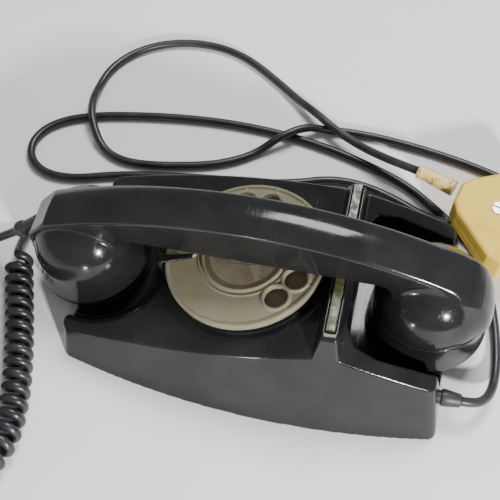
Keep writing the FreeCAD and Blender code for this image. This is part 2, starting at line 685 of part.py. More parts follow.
FLOOR = size("line_wire") + 0.1
OVER = FLOOR + 2 * size("line_wire") + 0.9
LINE_ROUTE = [
    (111.8, -40, 15), (118, -39.6, 14), (124, -35, 10.5), (127.6, -27, 6), (129, -16, 3),
    (128.4, -3, FLOOR),
    (126, 12, FLOOR), (121.7, 29, FLOOR), (118, 41, FLOOR), (111.5, 51, FLOOR), (102, 62, FLOOR),
    (89, 73, FLOOR), (70, 86, FLOOR), (50, 93.5, FLOOR), (30, 99.5, FLOOR), (8, 103.8, FLOOR),
    (-16, 105.9, FLOOR), (-41, 105.9, FLOOR), (-66, 103.6, FLOOR), (-90, 99.6, FLOOR), (-111, 95, FLOOR),
    (-128, 88.5, FLOOR), (-139, 79, FLOOR), (-143, 67, FLOOR), (-138.5, 55.5, FLOOR), (-127, 49, FLOOR),
    (-111, 49.5, FLOOR), (-95, 55, FLOOR), (-77, 59.6, FLOOR), (-55, 63.2, FLOOR), (-30, 66.9, FLOOR),
    (-8, 69.2, FLOOR), (11, 73.5, FLOOR), (28, 80, FLOOR), (46, 80.5, FLOOR), (64, 75.5, FLOOR),
    (83, 67, FLOOR), (97, 61.8, OVER), (112, 59.5, OVER), (128, 60, FLOOR), (139, 66, FLOOR),
    (143.5, 77, FLOOR), (141, 89, FLOOR), (131, 98, FLOOR), (116, 103.5, FLOOR), (98, 108, FLOOR),
    (76, 112, FLOOR), (55, 114.3, FLOOR), (37, 115, FLOOR), (21, 113.6, FLOOR), (9, 109.3, OVER),
    (-4, 99, OVER), (-14, 90, FLOOR), (-25, 81.5, FLOOR), (-39, 75, FLOOR), (-56, 70.6, FLOOR),
    (-74, 67.2, FLOOR), (-90, 67, FLOOR), (-103, 73.5, FLOOR), (-112.5, 88, OVER), (-116, 101, OVER),
    (-117.5, 115, FLOOR), (-115, 130, FLOOR), (-107, 143.5, FLOOR), (-95, 153.5, FLOOR), (-80, 160, FLOOR),
    (-63, 162.5, FLOOR), (-46, 160.5, FLOOR), (-30, 153.5, FLOOR), (-14, 142.5, FLOOR),
    (0, 131.5, FLOOR + 1), (14, 119.5, OVER), (28, 109.3, OVER), (42, 101, 9.5), (55, 94.2, 12.5),
    (66, 88.4, 16.5), (75, 84.4, 19),
]
solid_feature("line_cord", cord_shape("line_cord", LINE_ROUTE, size("line_wire")))

COIL_HIGH = size("coil_outer") + 0.1
COIL_ROUTE = [
    (-121.5, -9, COIL_HIGH), (-114.5, -28, COIL_HIGH), (-106.5, -50, COIL_HIGH), (-99.5, -72, COIL_HIGH),
    (-95.5, -91, COIL_HIGH), (-95, -105, COIL_HIGH), (-99, -117, COIL_HIGH), (-109, -121, COIL_HIGH),
    (-117.5, -114, COIL_HIGH), (-119.5, -101, COIL_HIGH), (-121.5, -84, COIL_HIGH), (-127, -60, COIL_HIGH),
    (-133.5, -37, COIL_HIGH), (-139.5, -17, COIL_HIGH),
]
solid_feature("handset_cord_coil", cord_shape("handset_cord_coil", COIL_ROUTE, size("coil_outer")))
LEAD_ROUTE = [
    (-120.7, -2.05, 25.75), (-128.5, -2.9, 19.8), (-136, -4, 14.2), (-141, -8.5, 9.8),
    (-139.8, -16.4, COIL_HIGH),
]
solid_feature("handset_cord_lead", cord_shape("handset_cord_lead", LEAD_ROUTE, size("hand_wire")))
TAIL_ROUTE = [
    (-121.7, -8.6, COIL_HIGH), (-124.5, 2, 5.8), (-124, 14, 4), (-118.5, 26, 4), (-108.5, 35, 5.5),
    (-96, 39.3, 7.6), (-86, 40, 8),
]
solid_feature("handset_cord_tail", cord_shape("handset_cord_tail", TAIL_ROUTE, size("hand_wire")))

line_neck = cylinder("line_neck", 3.3, 6, (97, -40, 15), Vector(1, 0, 0))
line_sleeve = doc.addObject("Part::Cone", "line_sleeve")
line_sleeve.Radius1 = size("boot_size")
line_sleeve.Radius2 = size("boot_size") - 0.9
line_sleeve.Height = 9.5
line_sleeve.Placement = Placement(Vector(102.2, -40, 15), Rotation(Vector(0, 0, 1), Vector(1, 0, 0)))
keep(fuse("line_boot_body", [line_neck, line_sleeve]), "line_cord_boot")
grommet = Part.makeCylinder(3, 6, Vector(-87.4, 40, 8), Vector(1, 0, 0))
grommet = grommet.cut(Part.makeCylinder(2.05, 8, Vector(-88, 40, 8), Vector(1, 0, 0)))
solid_feature("handset_cord_grommet", grommet)

# ---------------------------------------------------------------- plug

PLUG_FRAME = Placement(Vector(96.3, 69.6, 0), Rotation(Vector(0, 0, 1), -14))
PLUG_OUTLINE = [(0, -6), (3, -11), (27, -30), (34, -32), (41, -28), (45, -18), (46, 0),
                (45, 18), (41, 28), (34, 32), (27, 30), (3, 11), (0, 6)]
plug_low = size("plug_low")
plug_high = size("plug_high")
plug_middle = (plug_low + plug_high) / 2


def plug_half(low, high):
    half = polygon_face(PLUG_OUTLINE).extrude(Vector(0, 0, high - low))
    half.translate(Vector(0, 0, low))
    return half


cover = plug_half(plug_middle, plug_high).cut(Part.makeCylinder(4.2, 2, Vector(23, 0, plug_high - 1.4)))
cover = cover.cut(Part.makeCylinder(1.6, 20, Vector(23, 0, plug_low)))
base = plug_half(plug_low, plug_middle - 0.1).cut(Part.makeCylinder(1.6, 20, Vector(23, 0, plug_low)))
PLUG_PINS = [(22, 11), (37, 13), (36, -12)]
for spot in PLUG_PINS:
    base = base.cut(Part.makeCylinder(size("pin_wide"), 4, Vector(spot[0], spot[1], plug_low - 0.1)))
sleeve_start = Vector(75.2, 84.35, 19.05)
sleeve_end = Vector(95.2, 76.6, 20)
sleeve_way = sleeve_end - sleeve_start
socket = Part.makeCylinder(4.6, 20, sleeve_start, sleeve_way)
socket.Placement = PLUG_FRAME.inverse() * socket.Placement
solid_feature("plug_cover", cover.cut(socket), PLUG_FRAME)
solid_feature("plug_base", base.cut(socket), PLUG_FRAME)
screw = Part.makeCylinder(3.8, 1.2, Vector(23, 0, plug_high - 1.4))
screw = screw.cut(Part.makeBox(8, 0.9, 1, Vector(19, -0.45, plug_high - 0.9)))
screw = screw.fuse(Part.makeCylinder(1.6, 12, Vector(23, 0, plug_high - 13.2)))
solid_feature("plug_screw", screw, PLUG_FRAME)
pins = []
for spot in PLUG_PINS:
    pins.append(cylinder("plug_pin", "dimensions.pin_wide", "dimensions.plug_low + 3 - 0.2",
                         (spot[0], spot[1], 0.1), base=PLUG_FRAME))
keep(group("plug_pin_set", pins), "plug_pins")
sleeve = doc.addObject("Part::Cone", "sleeve_cone")
sleeve.Radius1 = 3.4
sleeve.Radius2 = 4.5
sleeve.Height = sleeve_way.Length
sleeve.Placement = Placement(sleeve_start, Rotation(Vector(0, 0, 1), sleeve_way))
keep(sleeve, "plug_sleeve")

# ---------------------------------------------------------------- checks and files

doc.recompute()
for item in doc.Objects:
    if "Invalid" in item.State or "Error" in item.State:
        raise RuntimeError("%s failed: %s" % (item.Name, item.State))
os.makedirs("parts", exist_ok=True)
for node in nodes:
    shape = node.Shape
    if shape.isNull() or not shape.isValid() or not shape.Solids or shape.Volume <= 0:
        raise RuntimeError("%s has no valid solid" % node.Label)
for node in nodes:
    node.Shape.exportStep("parts/%s.step" % node.Label)
print(len(nodes), "parts")
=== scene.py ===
import math

import bpy
import numpy as np
from mathutils import Matrix, Vector


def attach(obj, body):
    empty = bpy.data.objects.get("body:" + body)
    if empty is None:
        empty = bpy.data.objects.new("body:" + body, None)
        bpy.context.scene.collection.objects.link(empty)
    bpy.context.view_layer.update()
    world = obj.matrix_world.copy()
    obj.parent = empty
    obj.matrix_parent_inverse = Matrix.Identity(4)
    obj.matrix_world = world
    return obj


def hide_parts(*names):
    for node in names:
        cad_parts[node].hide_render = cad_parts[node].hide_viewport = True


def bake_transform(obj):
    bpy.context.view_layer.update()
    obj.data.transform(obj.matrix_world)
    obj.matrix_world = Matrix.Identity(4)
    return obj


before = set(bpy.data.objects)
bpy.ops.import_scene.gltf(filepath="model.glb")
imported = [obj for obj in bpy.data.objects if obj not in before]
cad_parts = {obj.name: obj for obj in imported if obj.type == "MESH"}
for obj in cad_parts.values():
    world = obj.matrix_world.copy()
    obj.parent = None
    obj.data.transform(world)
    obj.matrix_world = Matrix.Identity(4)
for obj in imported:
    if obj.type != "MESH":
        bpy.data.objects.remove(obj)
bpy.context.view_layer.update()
MM = 0.001

CAMERA_PLACE = (47.08, -208.06, 419.88)
CAMERA_HEADING = -12.57
CAMERA_DIP = 60.15
CAMERA_LENS = 64.8
DIAL_TILT = 12.05
DIAL_HEIGHT = 37


# ---------------------------------------------------------------- camera, light, floor

def add_camera():
    """Pinhole camera at the photograph's place, aimed by its heading and dip."""
    heading = math.radians(CAMERA_HEADING)
    dip = math.radians(CAMERA_DIP)
    level = math.cos(dip)
    forward = Vector((math.sin(heading) * level, math.cos(heading) * level, -math.sin(dip)))
    right = Vector((math.cos(heading), -math.sin(heading), 0))
    up = right.cross(forward)
    data = bpy.data.cameras.new("camera")
    data.sensor_width = 36
    data.lens = CAMERA_LENS
    camera = bpy.data.objects.new("camera", data)
    turn = Matrix((right, up, -forward)).transposed().to_4x4()
    camera.matrix_world = Matrix.Translation(Vector(CAMERA_PLACE) * MM) @ turn
    bpy.context.scene.collection.objects.link(camera)
    bpy.context.scene.camera = camera


def add_light(name, place, target, size, power, colour=(1, 1, 1)):
    """Square soft light at a place in millimetres, facing a target."""
    data = bpy.data.lights.new(name, "AREA")
    data.size = size * MM
    data.energy = power
    data.color = colour
    light = bpy.data.objects.new(name, data)
    way = (Vector(target) - Vector(place)).normalized()
    turn = way.to_track_quat("-Z", "Y").to_matrix().to_4x4()
    light.matrix_world = Matrix.Translation(Vector(place) * MM) @ turn
    light.visible_camera = False
    bpy.context.scene.collection.objects.link(light)


def add_world(colour, strength):
    world = bpy.data.worlds.new("studio")
    world.use_nodes = True
    background = world.node_tree.nodes["Background"]
    background.inputs["Color"].default_value = (*colour, 1)
    background.inputs["Strength"].default_value = strength
    bpy.context.scene.world = world


# ---------------------------------------------------------------- materials

class Shader:
    """Small helper that builds one procedural material around a Principled shader."""

    def __init__(self, name, colour, roughness, **sockets):
        self.material = bpy.data.materials.new(name)
        self.material.use_nodes = True
        self.tree = self.material.node_tree
        self.main = self.tree.nodes["Principled BSDF"]
        self.main.inputs["Base Color"].default_value = (*colour, 1)
        self.main.inputs["Roughness"].default_value = roughness
        for socket, value in sockets.items():
            self.main.inputs[socket.replace("_", " ")].default_value = value
        self.place = self.tree.nodes.new("ShaderNodeTexCoord").outputs["Object"]

    def node(self, kind, **values):
        node = self.tree.nodes.new(kind)
        for key, value in values.items():
            setattr(node, key, value)
        return node

    def link(self, source, target):
        self.tree.links.new(source, target)

    def noise(self, scale, detail=4, stretch=(1, 1, 1), rough=0.55):
        """Noise over object space; scale is in features per metre."""
        mapping = self.node("ShaderNodeMapping")
        mapping.inputs["Scale"].default_value = stretch
        self.link(self.place, mapping.inputs["Vector"])
        noise = self.node("ShaderNodeTexNoise")
        noise.inputs["Scale"].default_value = scale
        noise.inputs["Detail"].default_value = detail
        noise.inputs["Roughness"].default_value = rough
        self.link(mapping.outputs["Vector"], noise.inputs["Vector"])
        return noise.outputs["Fac"]

    def ramp(self, source, low, high, start=0.0, end=1.0):
        """Maps source from low..high to start..end, clamped."""
        span = self.node("ShaderNodeMapRange")
        for socket, value in (("From Min", low), ("From Max", high), ("To Min", start), ("To Max", end)):
            span.inputs[socket].default_value = value
        self.link(source, span.inputs["Value"])
        return span.outputs["Result"]

    def math(self, kind, first, second):
        node = self.node("ShaderNodeMath", operation=kind)
        for socket, value in zip(node.inputs, (first, second)):
            if isinstance(value, (int, float)):
                socket.default_value = value
            else:
                self.link(value, socket)
        return node.outputs[0]

    def tint(self, amount, first, second):
        """Mix of two colours by an amount; a colour is a triple or a socket."""
        mix = self.node("ShaderNodeMix", data_type="RGBA")
        self.link(amount, mix.inputs["Factor"])
        for socket, value in ((mix.inputs["A"], first), (mix.inputs["B"], second)):
            if isinstance(value, tuple):
                socket.default_value = (*value, 1)
            else:
                self.link(value, socket)
        return mix.outputs["Result"]

    def bump(self, height, strength, distance):
        bump = self.node("ShaderNodeBump")
        bump.inputs["Strength"].default_value = strength
        bump.inputs["Distance"].default_value = distance
        self.link(height, bump.inputs["Height"])
        previous = self.main.inputs["Normal"].links
        if previous:
            self.link(previous[0].from_socket, bump.inputs["Normal"])
        self.link(bump.outputs["Normal"], self.main.inputs["Normal"])

    def set(self, socket, source):
        self.link(source, self.main.inputs[socket])


def bakelite():
    """Polished black moulding: fine scratches, a film of dust, brownish rubbed specks."""
    s = Shader("black_bakelite", (0.012, 0.012, 0.013), 0.14, Specular_IOR_Level=0.36)
    film = s.ramp(s.noise(38, 5), 0.38, 0.72)
    specks = s.ramp(s.noise(900, 3), 0.66, 0.72)
    patches = s.ramp(s.noise(30, 2), 0.52, 0.68)
    rubbed = s.math("MULTIPLY", specks, patches)
    dusty = s.tint(s.math("MULTIPLY", film, 0.03), (0.011, 0.011, 0.012), (0.34, 0.33, 0.31))
    s.set("Base Color", s.tint(s.math("MULTIPLY", rubbed, 0.4), dusty, (0.12, 0.095, 0.075)))
    scratches = s.ramp(s.noise(900, 2, (1, 0.05, 1)), 0.6, 0.68)
    rough = s.math("ADD", s.ramp(film, 0, 1, 0.11, 0.19), s.math("MULTIPLY", scratches, 0.12))
    s.set("Roughness", s.math("ADD", rough, s.math("MULTIPLY", rubbed, 0.3)))
    s.bump(s.noise(160, 2), 0.08, 0.0004)
    s.bump(scratches, 0.12, 0.00003)
    return s.material


def plain_moulding(name, colour, roughness, grain=0.06, **sockets):
    """Moulded or pressed surface with faint colour change and a light grain."""
    s = Shader(name, colour, roughness, **sockets)
    tone = s.ramp(s.noise(60, 4), 0.3, 0.7)
    darker = tuple(c * 0.82 for c in colour)
    lighter = tuple(min(1, c * 1.08) for c in colour)
    s.set("Base Color", s.tint(tone, darker, lighter))
    s.set("Roughness", s.ramp(s.noise(300, 3), 0.3, 0.7, roughness * 0.8, min(1, roughness * 1.25)))
    s.bump(s.noise(1400, 3), grain, 0.0002)
    return s.material


def metal(name, colour, roughness, stretch=(1, 0.06, 1)):
    """Worked metal: drawn grain and tarnish."""
    s = Shader(name, colour, roughness, Metallic=1.0)
    grain = s.noise(1200, 3, stretch)
    s.set("Base Color", s.tint(s.ramp(s.noise(120, 4), 0.4, 0.75), colour, tuple(c * 0.55 for c in colour)))
    s.set("Roughness", s.ramp(grain, 0.3, 0.7, roughness * 0.7, roughness * 1.4))
    s.bump(grain, 0.15, 0.00005)
    return s.material


def clear_plastic(name, colour, roughness, weight):
    """Clear plastic gone yellow, deeper in tone in patches."""
    s = Shader(name, colour, roughness, Transmission_Weight=weight, IOR=1.49)
    tone = s.ramp(s.noise(70, 3), 0.35, 0.7)
    s.set("Base Color", s.tint(tone, colour, tuple(c * k for c, k in zip(colour, (0.93, 0.9, 0.72)))))
    s.set("Roughness", s.ramp(s.noise(260, 3), 0.35, 0.7, roughness * 0.6, roughness * 1.8))
    s.bump(s.noise(350, 2), 0.05, 0.0003)
    return s.material


def rubber(name, colour, roughness):
    """Matt rubber or vinyl with handling marks."""
    s = Shader(name, colour, roughness)
    marks = s.ramp(s.noise(90, 5), 0.42, 0.75)
    s.set("Base Color", s.tint(marks, colour, tuple(c * 1.9 + 0.012 for c in colour)))
    s.set("Roughness", s.ramp(s.noise(500, 3), 0.3, 0.7, roughness * 0.85, roughness * 1.2))
    s.bump(s.noise(1500, 2), 0.1, 0.0001)
    return s.material


def yellow_plug():
    """Aged yellow plastic, soiled darker in patches."""
    s = Shader("yellow_plastic", (0.8, 0.5, 0.06), 0.38, Specular_IOR_Level=0.2)
    soil = s.ramp(s.noise(70, 5), 0.5, 0.8)
    s.set("Base Color", s.tint(s.math("MULTIPLY", soil, 0.5), (0.82, 0.56, 0.09), (0.52, 0.31, 0.04)))
    s.set("Roughness", s.ramp(s.noise(400, 3), 0.3, 0.7, 0.45, 0.62))
    s.bump(s.noise(900, 3), 0.12, 0.0002)
    return s.material


def plug_sleeve_material():
    """Pale cloudy sleeve with rust-brown spots."""
    s = Shader("pale_sleeve", (0.8, 0.6, 0.22), 0.35)
    spots = s.ramp(s.noise(330, 3), 0.56, 0.64)
    s.set("Base Color", s.tint(spots, (0.8, 0.6, 0.22), (0.45, 0.17, 0.04)))
    s.bump(s.noise(900, 3), 0.15, 0.0002)
    return s.material


def card_material():
    """Beige paper card, slightly foxed."""
    s = Shader("card", (0.6, 0.53, 0.43), 0.75)
    s.set("Base Color", s.tint(s.ramp(s.noise(80, 5), 0.4, 0.75), (0.63, 0.56, 0.46), (0.54, 0.46, 0.34)))
    s.bump(s.noise(2500, 4), 0.15, 0.0001)
    return s.material


def floor_material():
    s = Shader("floor", (0.86, 0.86, 0.855), 0.6)
    s.set("Base Color", s.tint(s.ramp(s.noise(12, 3), 0.3, 0.7), (0.85, 0.85, 0.85), (0.88, 0.88, 0.875)))
    s.bump(s.noise(600, 2), 0.03, 0.0003)
    return s.material


# ---------------------------------------------------------------- surfaces from distance functions

def round_max(first, second, radius):
    """Intersection of two solids, given as distances, with a rounded edge."""
    outer = np.minimum(np.maximum(first, second), -radius)
    return outer + np.hypot(np.maximum(first + radius, 0), np.maximum(second + radius, 0))


def round_min(first, second, radius):
    """Union of two solids with a fillet where they meet."""
    return -round_max(-first, -second, radius)


def polygon_distance(x, y, points):
    """Signed distance in a plane to a closed polygon, negative inside."""
    nearest = None
    inside = None
    for (ax, ay), (bx, by) in zip(points, points[1:] + points[:1]):
        ex, ey = bx - ax, by - ay
        wx, wy = x - ax, y - ay
        along = np.clip((wx * ex + wy * ey) / (ex * ex + ey * ey), 0, 1)
        gap = (wx - ex * along) ** 2 + (wy - ey * along) ** 2
        nearest = gap if nearest is None else np.minimum(nearest, gap)
        crosses = ((ay > y) != (by > y)) & (wx < ex * wy / (ey if ey else 1e-9))
        inside = crosses if inside is None else inside ^ crosses
    return np.where(inside, -1, 1) * np.sqrt(nearest)


def cell_corners(field, cells):
    return np.stack([field[cells[0] + i, cells[1] + j, cells[2] + k]
                     for i in (0, 1) for j in (0, 1) for k in (0, 1)], axis=1)


def net_vertices(values, cells, low, step):
    """One point per mixed cell: the mean of where its edges cross the surface."""
    corners = np.array([(i, j, k) for i in (0, 1) for j in (0, 1) for k in (0, 1)], float)
    total = np.zeros((len(values), 3))
    count = np.zeros(len(values))
    for a in range(8):
        for b in range(a + 1, 8):
            if np.abs(corners[a] - corners[b]).sum() != 1:
                continue
            crossing = (values[:, a] < 0) != (values[:, b] < 0)
            share = values[:, a] / np.where(crossing, values[:, a] - values[:, b], 1)
            point = corners[a] + share[:, None] * (corners[b] - corners[a])
            total += np.where(crossing[:, None], point, 0)
            count += crossing
    return (np.stack(cells, axis=1) + total / count[:, None]) * step + low


def net_faces(inside, number):
    """Quads round every grid edge that crosses the surface."""
    faces = []
    for axis in range(3):
        one, two = [a for a in range(3) if a != axis]
        first = np.take(inside, range(inside.shape[axis] - 1), axis)
        second = np.take(inside, range(1, inside.shape[axis]), axis)
        edges = np.nonzero(first != second)
        keep = (edges[one] > 0) & (edges[two] > 0)
        keep &= (edges[one] < inside.shape[one] - 1) & (edges[two] < inside.shape[two] - 1)
        spot = [e[keep] for e in edges]
        around = []
        for back_one, back_two in ((1, 1), (0, 1), (0, 0), (1, 0)):
            cell = list(spot)
            cell[one] = spot[one] - back_one
            cell[two] = spot[two] - back_two
            around.append(number[tuple(cell)])
        quad = np.stack(around, axis=1)
        flip = first[tuple(spot)] == (axis == 1)
        quad[flip] = quad[flip][:, ::-1]
        faces.append(quad)
    return np.concatenate(faces)


def settle(distance, points, step):
    """Moves points onto the zero surface along its slope."""
    small = 0.02 * step
    for _ in range(4):
        x, y, z = points.T
        value = distance(x, y, z)
        slope = np.stack([distance(x + small, y, z) - distance(x - small, y, z),
                          distance(x, y + small, z) - distance(x, y - small, z),
                          distance(x, y, z + small) - distance(x, y, z - small)], axis=1) / (2 * small)
        size = np.maximum((slope ** 2).sum(1), 0.05)
        shift = slope * (value / size)[:, None]
        points = points - np.clip(shift, -0.4 * step, 0.4 * step)
    return points


def surface_object(name, distance, low, high, step, place=Matrix.Identity(4)):
    """Smooth mesh of the zero surface of a distance function in millimetres, placed by a matrix."""
    axes = [np.arange(a - 1.5 * step, b + 2.5 * step, step) for a, b in zip(low, high)]
    x, y, z = np.meshgrid(*axes, indexing="ij", sparse=True)
    field = np.broadcast_to(distance(x, y, z), [len(a) for a in axes])
    inside = field < 0
    wide, deep, tall = (n - 1 for n in inside.shape)
    votes = sum(inside[i:i + wide, j:j + deep, k:k + tall].astype(int)
                for i in (0, 1) for j in (0, 1) for k in (0, 1))
    cells = np.nonzero((votes > 0) & (votes < 8))
    number = np.full(votes.shape, -1)
    number[cells] = np.arange(len(cells[0]))
    start = np.array([a[0] for a in axes])
    points = net_vertices(cell_corners(field, cells), cells, start, step)
    points = settle(distance, points, step)
    faces = net_faces(inside, number)
    mesh = bpy.data.meshes.new(name)
    mesh.vertices.add(len(points))
    mesh.vertices.foreach_set("co", (points * MM).ravel())
    mesh.loops.add(faces.size)
    mesh.loops.foreach_set("vertex_index", faces.ravel())
    mesh.polygons.add(len(faces))
    mesh.polygons.foreach_set("loop_start", np.arange(len(faces)) * 4)
    mesh.update(calc_edges=True)
    mesh.validate()
    mesh.transform(place)
    mesh.shade_smooth()
    piece = bpy.data.objects.new(name, mesh)
    bpy.context.scene.collection.objects.link(piece)
    return piece


def finish_piece(piece, body, slot, material, *replaced):
    """Gives a piece its material and body and hides the CAD nodes that it stands for; slot is not used."""
    piece.data.materials.clear()
    piece.data.materials.append(material)
    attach(piece, body)
    if replaced:
        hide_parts(*replaced)
    return piece


def placement(place, axis, degrees):
    return Matrix.Translation(Vector(place) * MM) @ Matrix.Rotation(math.radians(degrees), 4, axis)


HAND = placement((3.5, 0, 31.5), "Y", -2.3)
DIAL = placement((0, 0, DIAL_HEIGHT), "Y", -DIAL_TILT)
PLUG = placement((96.3, 69.6, 0), "Z", -14)


def lathe(name, start, end, profile, around=48):
    """Turned piece along a line: profile gives (distance along, radius) in millimetres."""
    start, end = Vector(start), Vector(end)
    turn = (end - start).to_track_quat("Z", "Y").to_matrix()
    points = []
    faces = []
    for along, radius in profile:
        for n in range(around):
            angle = 2 * math.pi * n / around
            spot = Vector((radius * math.cos(angle), radius * math.sin(angle), along))
            points.append((start + turn @ spot) * MM)
    for row in range(len(profile) - 1):
        for n in range(around):
            low, next_low = row * around + n, row * around + (n + 1) % around
            faces.append((low, next_low, next_low + around, low + around))
    faces.append(tuple(reversed(range(around))))
    faces.append(tuple(range((len(profile) - 1) * around, len(profile) * around)))
    mesh = bpy.data.meshes.new(name)
    mesh.from_pydata(points, [], faces)
    mesh.shade_smooth()
    mesh.set_sharp_from_angle(angle=math.radians(35))
    piece = bpy.data.objects.new(name, mesh)
    bpy.context.scene.collection.objects.link(piece)
    return piece


# ---------------------------------------------------------------- handset

def arc_points(centre, radius, start, end, count):
    """Points on an arc, angles in degrees."""
    return [(centre[0] + radius * math.cos(math.radians(start + (end - start) * n / count)),
             centre[1] + radius * math.sin(math.radians(start + (end - start) * n / count)))
            for n in range(count + 1)]


CUP_X = 86
CUP_SIZE = 27.5
CUP_WALL = 3
EAR_SEAM = 0.5
MOUTH_SEAM = -15
CAP_SIZE = 29.4
NOSE_SIZE = 27.7
NOSE_FLATTEN = 0.77
GRIP_ROUND = 2.5
NECK = arc_points((57, 14), 9, 88, 12, 6)
GRIP_PROFILE = ([(-109.5, -2), (-109.5, 12), (-100, 23.5), (-88, 60), (66, 60), (90, 31)]
                + arc_points((CUP_X, 0), 25.7, 62, 4, 6) + [(88, -1), (76, 2)]
                + [(x + GRIP_ROUND, z + GRIP_ROUND) for x, z in NECK[::-1]]
                + [(-x - GRIP_ROUND, z + GRIP_ROUND) for x, z in NECK] + [(-76, 2), (-86, -1)])


def handle_distance(x, y, z):
    """Arched, crowned grip trimmed by its side profile."""
    arch = np.hypot(x, z + 187.5)
    bulge = 19.04
    crown = np.sqrt(np.maximum(bulge ** 2 - np.minimum(np.abs(y), 15) ** 2, 1)) - (bulge - 3.5)
    top = arch - 235 - crown
    profile = polygon_distance(x, z, GRIP_PROFILE) - GRIP_ROUND
    side = round_max(np.abs(y) - 11, profile, 1.6)
    grip = round_max(top, side, 1.1)
    nose = np.sqrt(np.maximum(x - CUP_X, 0) ** 2 + y ** 2 + (NOSE_FLATTEN * z) ** 2) - NOSE_SIZE
    return np.where(x > CUP_X, round_max(grip, nose, 0.5), grip)


def cup_solid(x, y, z, side, inset):
    """Dome down to the seam; the mouthpiece flares like a bell below it."""
    across = np.hypot(x - side * CUP_X, y)
    flare = np.where(side < 0, 2.0 * np.clip(-z / 15, 0, 1) ** 1.6, 0)
    return np.hypot(across, np.maximum(z, 0)) - (CUP_SIZE - inset) - flare


def shell_distance(x, y, z):
    body = handle_distance(x, y, z)
    body = round_max(body, -6 - z, 0.3)
    fade = np.clip((x - 55) / 40, 0, 1)
    fillet = 1.2 + 6 * fade * fade * (3 - 2 * fade)
    for side, seam in ((-1, MOUTH_SEAM), (1, EAR_SEAM)):
        cup = round_max(cup_solid(x, y, z, side, 0), seam - z, 0.6)
        body = round_min(body, cup, fillet)
        body = np.where(x * side > 40, round_max(body, seam - z, 0.3), body)
        room = np.maximum(cup_solid(x, y, z, side, CUP_WALL), np.abs(x - side * CUP_X) - 40)
        body = np.maximum(body, -room)
    return body


def cap_distance(x, y, z, side):
    """Screwed-on cap under one cup, with sound holes in its dished front."""
    if side > 0:
        seam, low, top, edge = EAR_SEAM, -23, 27.6, 5
    else:
        seam, low, top, edge = MOUTH_SEAM, -19.5, CAP_SIZE, 3.5
    wide = CAP_SIZE
    across = np.hypot(x - side * CUP_X, y)
    rim = arc_points((wide - edge, low + edge), edge - 0.4, 0, -90, 6)
    skirt = [(-5, seam - 0.5), (top - 0.4, seam - 0.5)] + rim + [(10, low + 1.6), (-5, low + 2.2)]
    cap = polygon_distance(across, z, skirt) - 0.4
    hollow = [(-5, 5), (top - 3, 5), (top - 3, seam), (wide - 5, low + 3.6), (-5, low + 4)]
    room = polygon_distance(across, z, hollow)
    cap = np.maximum(cap, -room)
    rings = ((0, 1), (5, 6), (10, 12)) if side < 0 else ((0, 1), (6, 6))
    for radius, count in rings:
        for n in range(count):
            angle = 2 * math.pi * n / count
            hole = np.hypot(x - side * CUP_X - radius * math.cos(angle), y - radius * math.sin(angle)) - 1.1
            cap = np.maximum(cap, -hole)
    return cap


def make_handset(black, soft):
    shell = surface_object("handset_body", shell_distance, (-113, -30, -16), (116, 30, 52), 0.8, HAND)
    finish_piece(shell, "handset", "black_bakelite", black, "handset_shell")
    for side, node, low, high in ((1, "earpiece_cap", -23, 1), (-1, "mouthpiece_cap", -20, -15)):
        def distance(x, y, z, side=side):
            return cap_distance(x, y, z, side)
        spot = side * CUP_X
        corners = (spot - 30, -30, low), (spot + 30, 30, high)
        cap = surface_object(node + "_turned", distance, *corners, 0.6, HAND)
        finish_piece(cap, "handset", "black_bakelite", black, node)
    boot = lathe("handset_boot_rubber", (-106.8, 0, 37), (-120.4, -2, 26),
                 [(0, 3.9), (11, 3.3), (11.3, 2.9), (12, 2.9), (12.2, 3.9), (13.2, 4.3),
                  (15.2, 4.3), (16.2, 3.9), (17.4, 3.1), (17.6, 2.1)])
    finish_piece(boot, "handset", "black_rubber", soft, "handset_cord_boot")


# ---------------------------------------------------------------- body shell

SIDE_PROFILE = [(-92, 17.36), (39.5, 45.43), (41.9, 56.8), (49.1, 56.8), (51.8, 45.3), (98, 31.5),
                (114, 26.7), (114, -20), (-92, -20)]
RECESS_PROFILE = [(54.3, -60), (54.3, 19), (59, 28), (68.5, 31), (140, 31), (140, -60)]


def bow(x):
    """Half width of the base at x: an arc through the two ends and the middle."""
    radius, centre_x = 429.85, 19.05
    return np.sqrt(np.maximum(radius ** 2 - (x - centre_x) ** 2, 1)) - (radius - 65.02)


def body_outside(x, y, z):
    """The whole body before it is hollowed: leaning walls, side profile, recess and scoop."""
    walls = (np.abs(y) - bow(x) + 0.39 * z) * 0.932
    ends = np.maximum(-84 - x, (x - 104 + 0.2 * z) * 0.98)
    plan = round_max(walls, ends, 3.5)
    top = polygon_distance(x, z, SIDE_PROFILE)
    body = round_max(plan, top, 1.2)
    half = np.abs(y) - 0.2 * (z - 10.5)
    recess = polygon_distance(x, half, RECESS_PROFILE) - 2
    recess = round_max(recess, 10.5 - z, 3)
    body = round_max(body, -recess, 1.0)
    reach = np.hypot(x + 76, np.maximum(np.abs(y) - 8, 0))
    scoop = round_max((reach - 25 - (z - 6.5) * 0.5) * 0.894, 6.5 - z, 4)
    return round_max(body, -scoop, 2.6)


def housing_distance(x, y, z):
    body = body_outside(x, y, z)
    body = np.maximum(body, -(body + 2.5))
    tilt = math.radians(DIAL_TILT)
    along = x * math.cos(tilt) + (z - DIAL_HEIGHT) * math.sin(tilt)
    depth = -x * math.sin(tilt) + (z - DIAL_HEIGHT) * math.cos(tilt)
    opening = np.maximum(np.hypot(along, y) - 35.9, np.abs(depth) - 8)
    body = round_max(body, -opening, 0.4)
    slot = np.maximum(np.maximum(43 - x, x - 47.6), np.maximum(np.maximum(-38 - y, y - 42), 40 - z))
    body = round_max(body, -slot, 0.5)
    boot_hole = np.hypot(y + 40, z - 15) - 3.5 + np.where(x > 90, 0, 50)
    cord_hole = np.hypot(y - 40, z - 8) - 3.1 + np.where(x < -78, 0, 50)
    body = np.maximum(body, -np.minimum(boot_hole, cord_hole))
    return round_max(body, 0.05 - z, 0.7)


